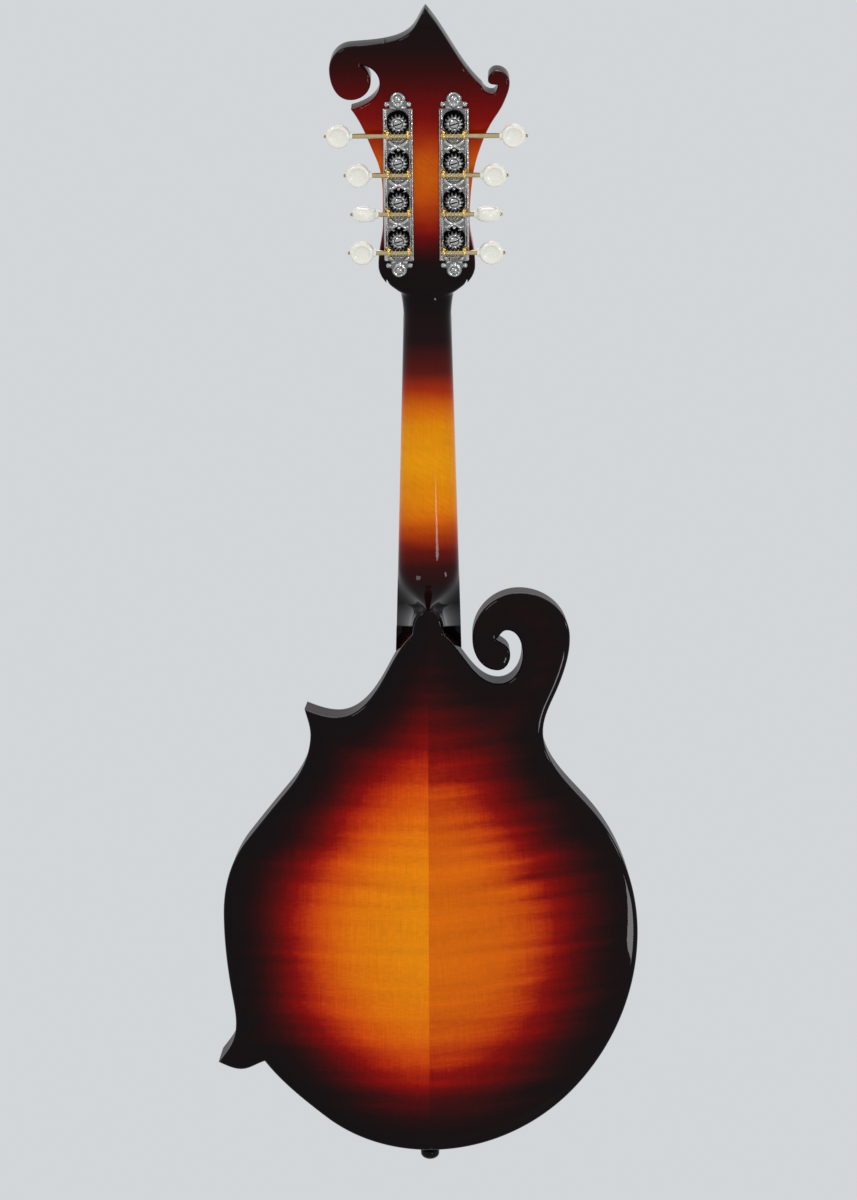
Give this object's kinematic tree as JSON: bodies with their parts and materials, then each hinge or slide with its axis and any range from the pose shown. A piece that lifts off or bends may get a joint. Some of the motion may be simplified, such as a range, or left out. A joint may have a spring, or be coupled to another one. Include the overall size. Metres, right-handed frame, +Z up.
{
  "type": "mandolin",
  "caption": "Scroll-body mandolin with carved back and soundboard, worm-geared tuners, height-adjustable bridge and slide-on tailpiece cover.",
  "frame": {"origin": "the nut's fingerboard-side edge, on the neck's glue face and the centre line, where the headstock's flare sits in a hanger", "axes": "+Z up the neck to the headstock tip, -Y out of the back, +X towards the scroll (right as seen from behind)"},
  "size_m": [0.258, 0.1122, 0.7071],
  "materials": {
    "sunburst_maple": "gloss lacquered sunburst on flamed maple",
    "sunburst_spruce": "gloss lacquered sunburst on spruce",
    "bare_wood": "bare",
    "black_veneer": "gloss black",
    "steel": "bright",
    "nickel": "nickel plated",
    "fret_nickel": "polished",
    "bone": "polished bone",
    "rosewood": "oiled",
    "ebony": "polished",
    "pearl": "polished shell",
    "ivoroid": "polished, finely grained"
  },
  "bodies": {
    "root": {"back_bass_half": "sunburst_maple", "back_treble_half": "sunburst_maple", "soundboard": "sunburst_spruce", "ribs": "sunburst_maple", "back_lining": "bare_wood", "top_lining": "bare_wood", "head_block": "bare_wood", "tail_block": "bare_wood", "point_blocks": "bare_wood", "tone_bars": "bare_wood", "neck": "sunburst_maple", "headstock_wings": "sunburst_maple", "headstock_veneer": "black_veneer", "truss_rod": "steel", "truss_rod_cover": "black_veneer", "truss_cover_screws": "nickel", "nut": "bone", "fingerboard": "rosewood", "frets": "fret_nickel", "fret_markers": "pearl", "bridge_base": "ebony", "bridge_studs": "steel", "tailpiece_base": "nickel", "tailpiece_screws": "nickel", "end_pin": "ebony", "strings": "steel", "tuner_plate_bass": "nickel", "tuner_plate_treble": "nickel", "tuner_plate_screws": "nickel", "post_bushings": "nickel"},
    "key_bass_1": {"button_bass_1": "ivoroid", "worm_bass_1": "nickel"},
    "post_bass_1": {"post_bass_1": "nickel"},
    "key_bass_2": {"button_bass_2": "ivoroid", "worm_bass_2": "nickel"},
    "post_bass_2": {"post_bass_2": "nickel"},
    "key_bass_3": {"button_bass_3": "ivoroid", "worm_bass_3": "nickel"},
    "post_bass_3": {"post_bass_3": "nickel"},
    "key_bass_4": {"button_bass_4": "ivoroid", "worm_bass_4": "nickel"},
    "post_bass_4": {"post_bass_4": "nickel"},
    "key_treble_1": {"button_treble_1": "ivoroid", "worm_treble_1": "nickel"},
    "post_treble_1": {"post_treble_1": "nickel"},
    "key_treble_2": {"button_treble_2": "ivoroid", "worm_treble_2": "nickel"},
    "post_treble_2": {"post_treble_2": "nickel"},
    "key_treble_3": {"button_treble_3": "ivoroid", "worm_treble_3": "nickel"},
    "post_treble_3": {"post_treble_3": "nickel"},
    "key_treble_4": {"button_treble_4": "ivoroid", "worm_treble_4": "nickel"},
    "post_treble_4": {"post_treble_4": "nickel"},
    "saddle": {"bridge_saddle": "ebony"},
    "thumb_bass": {"thumbwheel_bass": "nickel"},
    "thumb_treble": {"thumbwheel_treble": "nickel"},
    "tail_cover": {"tailpiece_cover": "nickel"}
  },
  "joints": [
    {"name": "key_bass_1_turn", "type": "hinge", "parent": "root", "child": "key_bass_1", "pos_m": [0.0166, -0.02707, 0.02789], "axis": [1, 0, 0], "continuous": true},
    {"name": "post_bass_1_turn", "type": "hinge", "parent": "root", "child": "post_bass_1", "pos_m": [0.0166, -0.01217, 0.04062], "axis": [0, 0.9511, 0.309], "continuous": true},
    {"name": "key_bass_2_turn", "type": "hinge", "parent": "root", "child": "key_bass_2", "pos_m": [0.0166, -0.03449, 0.05072], "axis": [1, 0, 0], "continuous": true},
    {"name": "post_bass_2_turn", "type": "hinge", "parent": "root", "child": "post_bass_2", "pos_m": [0.0166, -0.01959, 0.06345], "axis": [0, 0.9511, 0.309], "continuous": true},
    {"name": "key_bass_3_turn", "type": "hinge", "parent": "root", "child": "key_bass_3", "pos_m": [0.0166, -0.0419, 0.07354], "axis": [1, 0, 0], "continuous": true},
    {"name": "post_bass_3_turn", "type": "hinge", "parent": "root", "child": "post_bass_3", "pos_m": [0.0166, -0.02701, 0.08627], "axis": [0, 0.9511, 0.309], "continuous": true},
    {"name": "key_bass_4_turn", "type": "hinge", "parent": "root", "child": "key_bass_4", "pos_m": [0.0166, -0.04932, 0.09637], "axis": [1, 0, 0], "continuous": true},
    {"name": "post_bass_4_turn", "type": "hinge", "parent": "root", "child": "post_bass_4", "pos_m": [0.0166, -0.03442, 0.10909], "axis": [0, 0.9511, 0.309], "continuous": true},
    {"name": "key_treble_1_turn", "type": "hinge", "parent": "root", "child": "key_treble_1", "pos_m": [-0.0166, -0.02707, 0.02789], "axis": [1, 0, 0], "continuous": true},
    {"name": "post_treble_1_turn", "type": "hinge", "parent": "root", "child": "post_treble_1", "pos_m": [-0.0166, -0.01217, 0.04062], "axis": [0, 0.9511, 0.309], "continuous": true},
    {"name": "key_treble_2_turn", "type": "hinge", "parent": "root", "child": "key_treble_2", "pos_m": [-0.0166, -0.03449, 0.05072], "axis": [1, 0, 0], "continuous": true},
    {"name": "post_treble_2_turn", "type": "hinge", "parent": "root", "child": "post_treble_2", "pos_m": [-0.0166, -0.01959, 0.06345], "axis": [0, 0.9511, 0.309], "continuous": true},
    {"name": "key_treble_3_turn", "type": "hinge", "parent": "root", "child": "key_treble_3", "pos_m": [-0.0166, -0.0419, 0.07354], "axis": [1, 0, 0], "continuous": true},
    {"name": "post_treble_3_turn", "type": "hinge", "parent": "root", "child": "post_treble_3", "pos_m": [-0.0166, -0.02701, 0.08627], "axis": [0, 0.9511, 0.309], "continuous": true},
    {"name": "key_treble_4_turn", "type": "hinge", "parent": "root", "child": "key_treble_4", "pos_m": [-0.0166, -0.04932, 0.09637], "axis": [1, 0, 0], "continuous": true},
    {"name": "post_treble_4_turn", "type": "hinge", "parent": "root", "child": "post_treble_4", "pos_m": [-0.0166, -0.03442, 0.10909], "axis": [0, 0.9511, 0.309], "continuous": true},
    {"name": "thumb_treble_turn", "type": "hinge", "parent": "saddle", "child": "thumb_treble", "pos_m": [-0.03, 0.03552, -0.34943], "axis": [0, 1, 0], "range_deg": [-1028.6, 0]},
    {"name": "thumb_bass_turn", "type": "hinge", "parent": "saddle", "child": "thumb_bass", "pos_m": [0.03, 0.03552, -0.34943], "axis": [0, 1, 0], "range_deg": [-1029.6, 1]},
    {"name": "saddle_lift", "type": "slide", "parent": "root", "child": "saddle", "axis": [0, 1, 0], "range_m": [-0.00201, 0]},
    {"name": "cover_slide", "type": "slide", "parent": "root", "child": "tail_cover", "axis": [0, 0, 1], "range_m": [0, 0.01]}
  ],
  "couplings": [
    {"joint": "post_bass_1_turn", "follows": "key_bass_1_turn", "ratio": 0.071429},
    {"joint": "post_bass_2_turn", "follows": "key_bass_2_turn", "ratio": 0.071429},
    {"joint": "post_bass_3_turn", "follows": "key_bass_3_turn", "ratio": 0.071429},
    {"joint": "post_bass_4_turn", "follows": "key_bass_4_turn", "ratio": 0.071429},
    {"joint": "post_treble_1_turn", "follows": "key_treble_1_turn", "ratio": 0.071429},
    {"joint": "post_treble_2_turn", "follows": "key_treble_2_turn", "ratio": 0.071429},
    {"joint": "post_treble_3_turn", "follows": "key_treble_3_turn", "ratio": 0.071429},
    {"joint": "post_treble_4_turn", "follows": "key_treble_4_turn", "ratio": 0.071429},
    {"joint": "thumb_bass_turn", "follows": "thumb_treble_turn", "ratio": 1},
    {"joint": "saddle_lift", "follows": "thumb_treble_turn", "m_per_rad": 0.00011141}
  ]
}
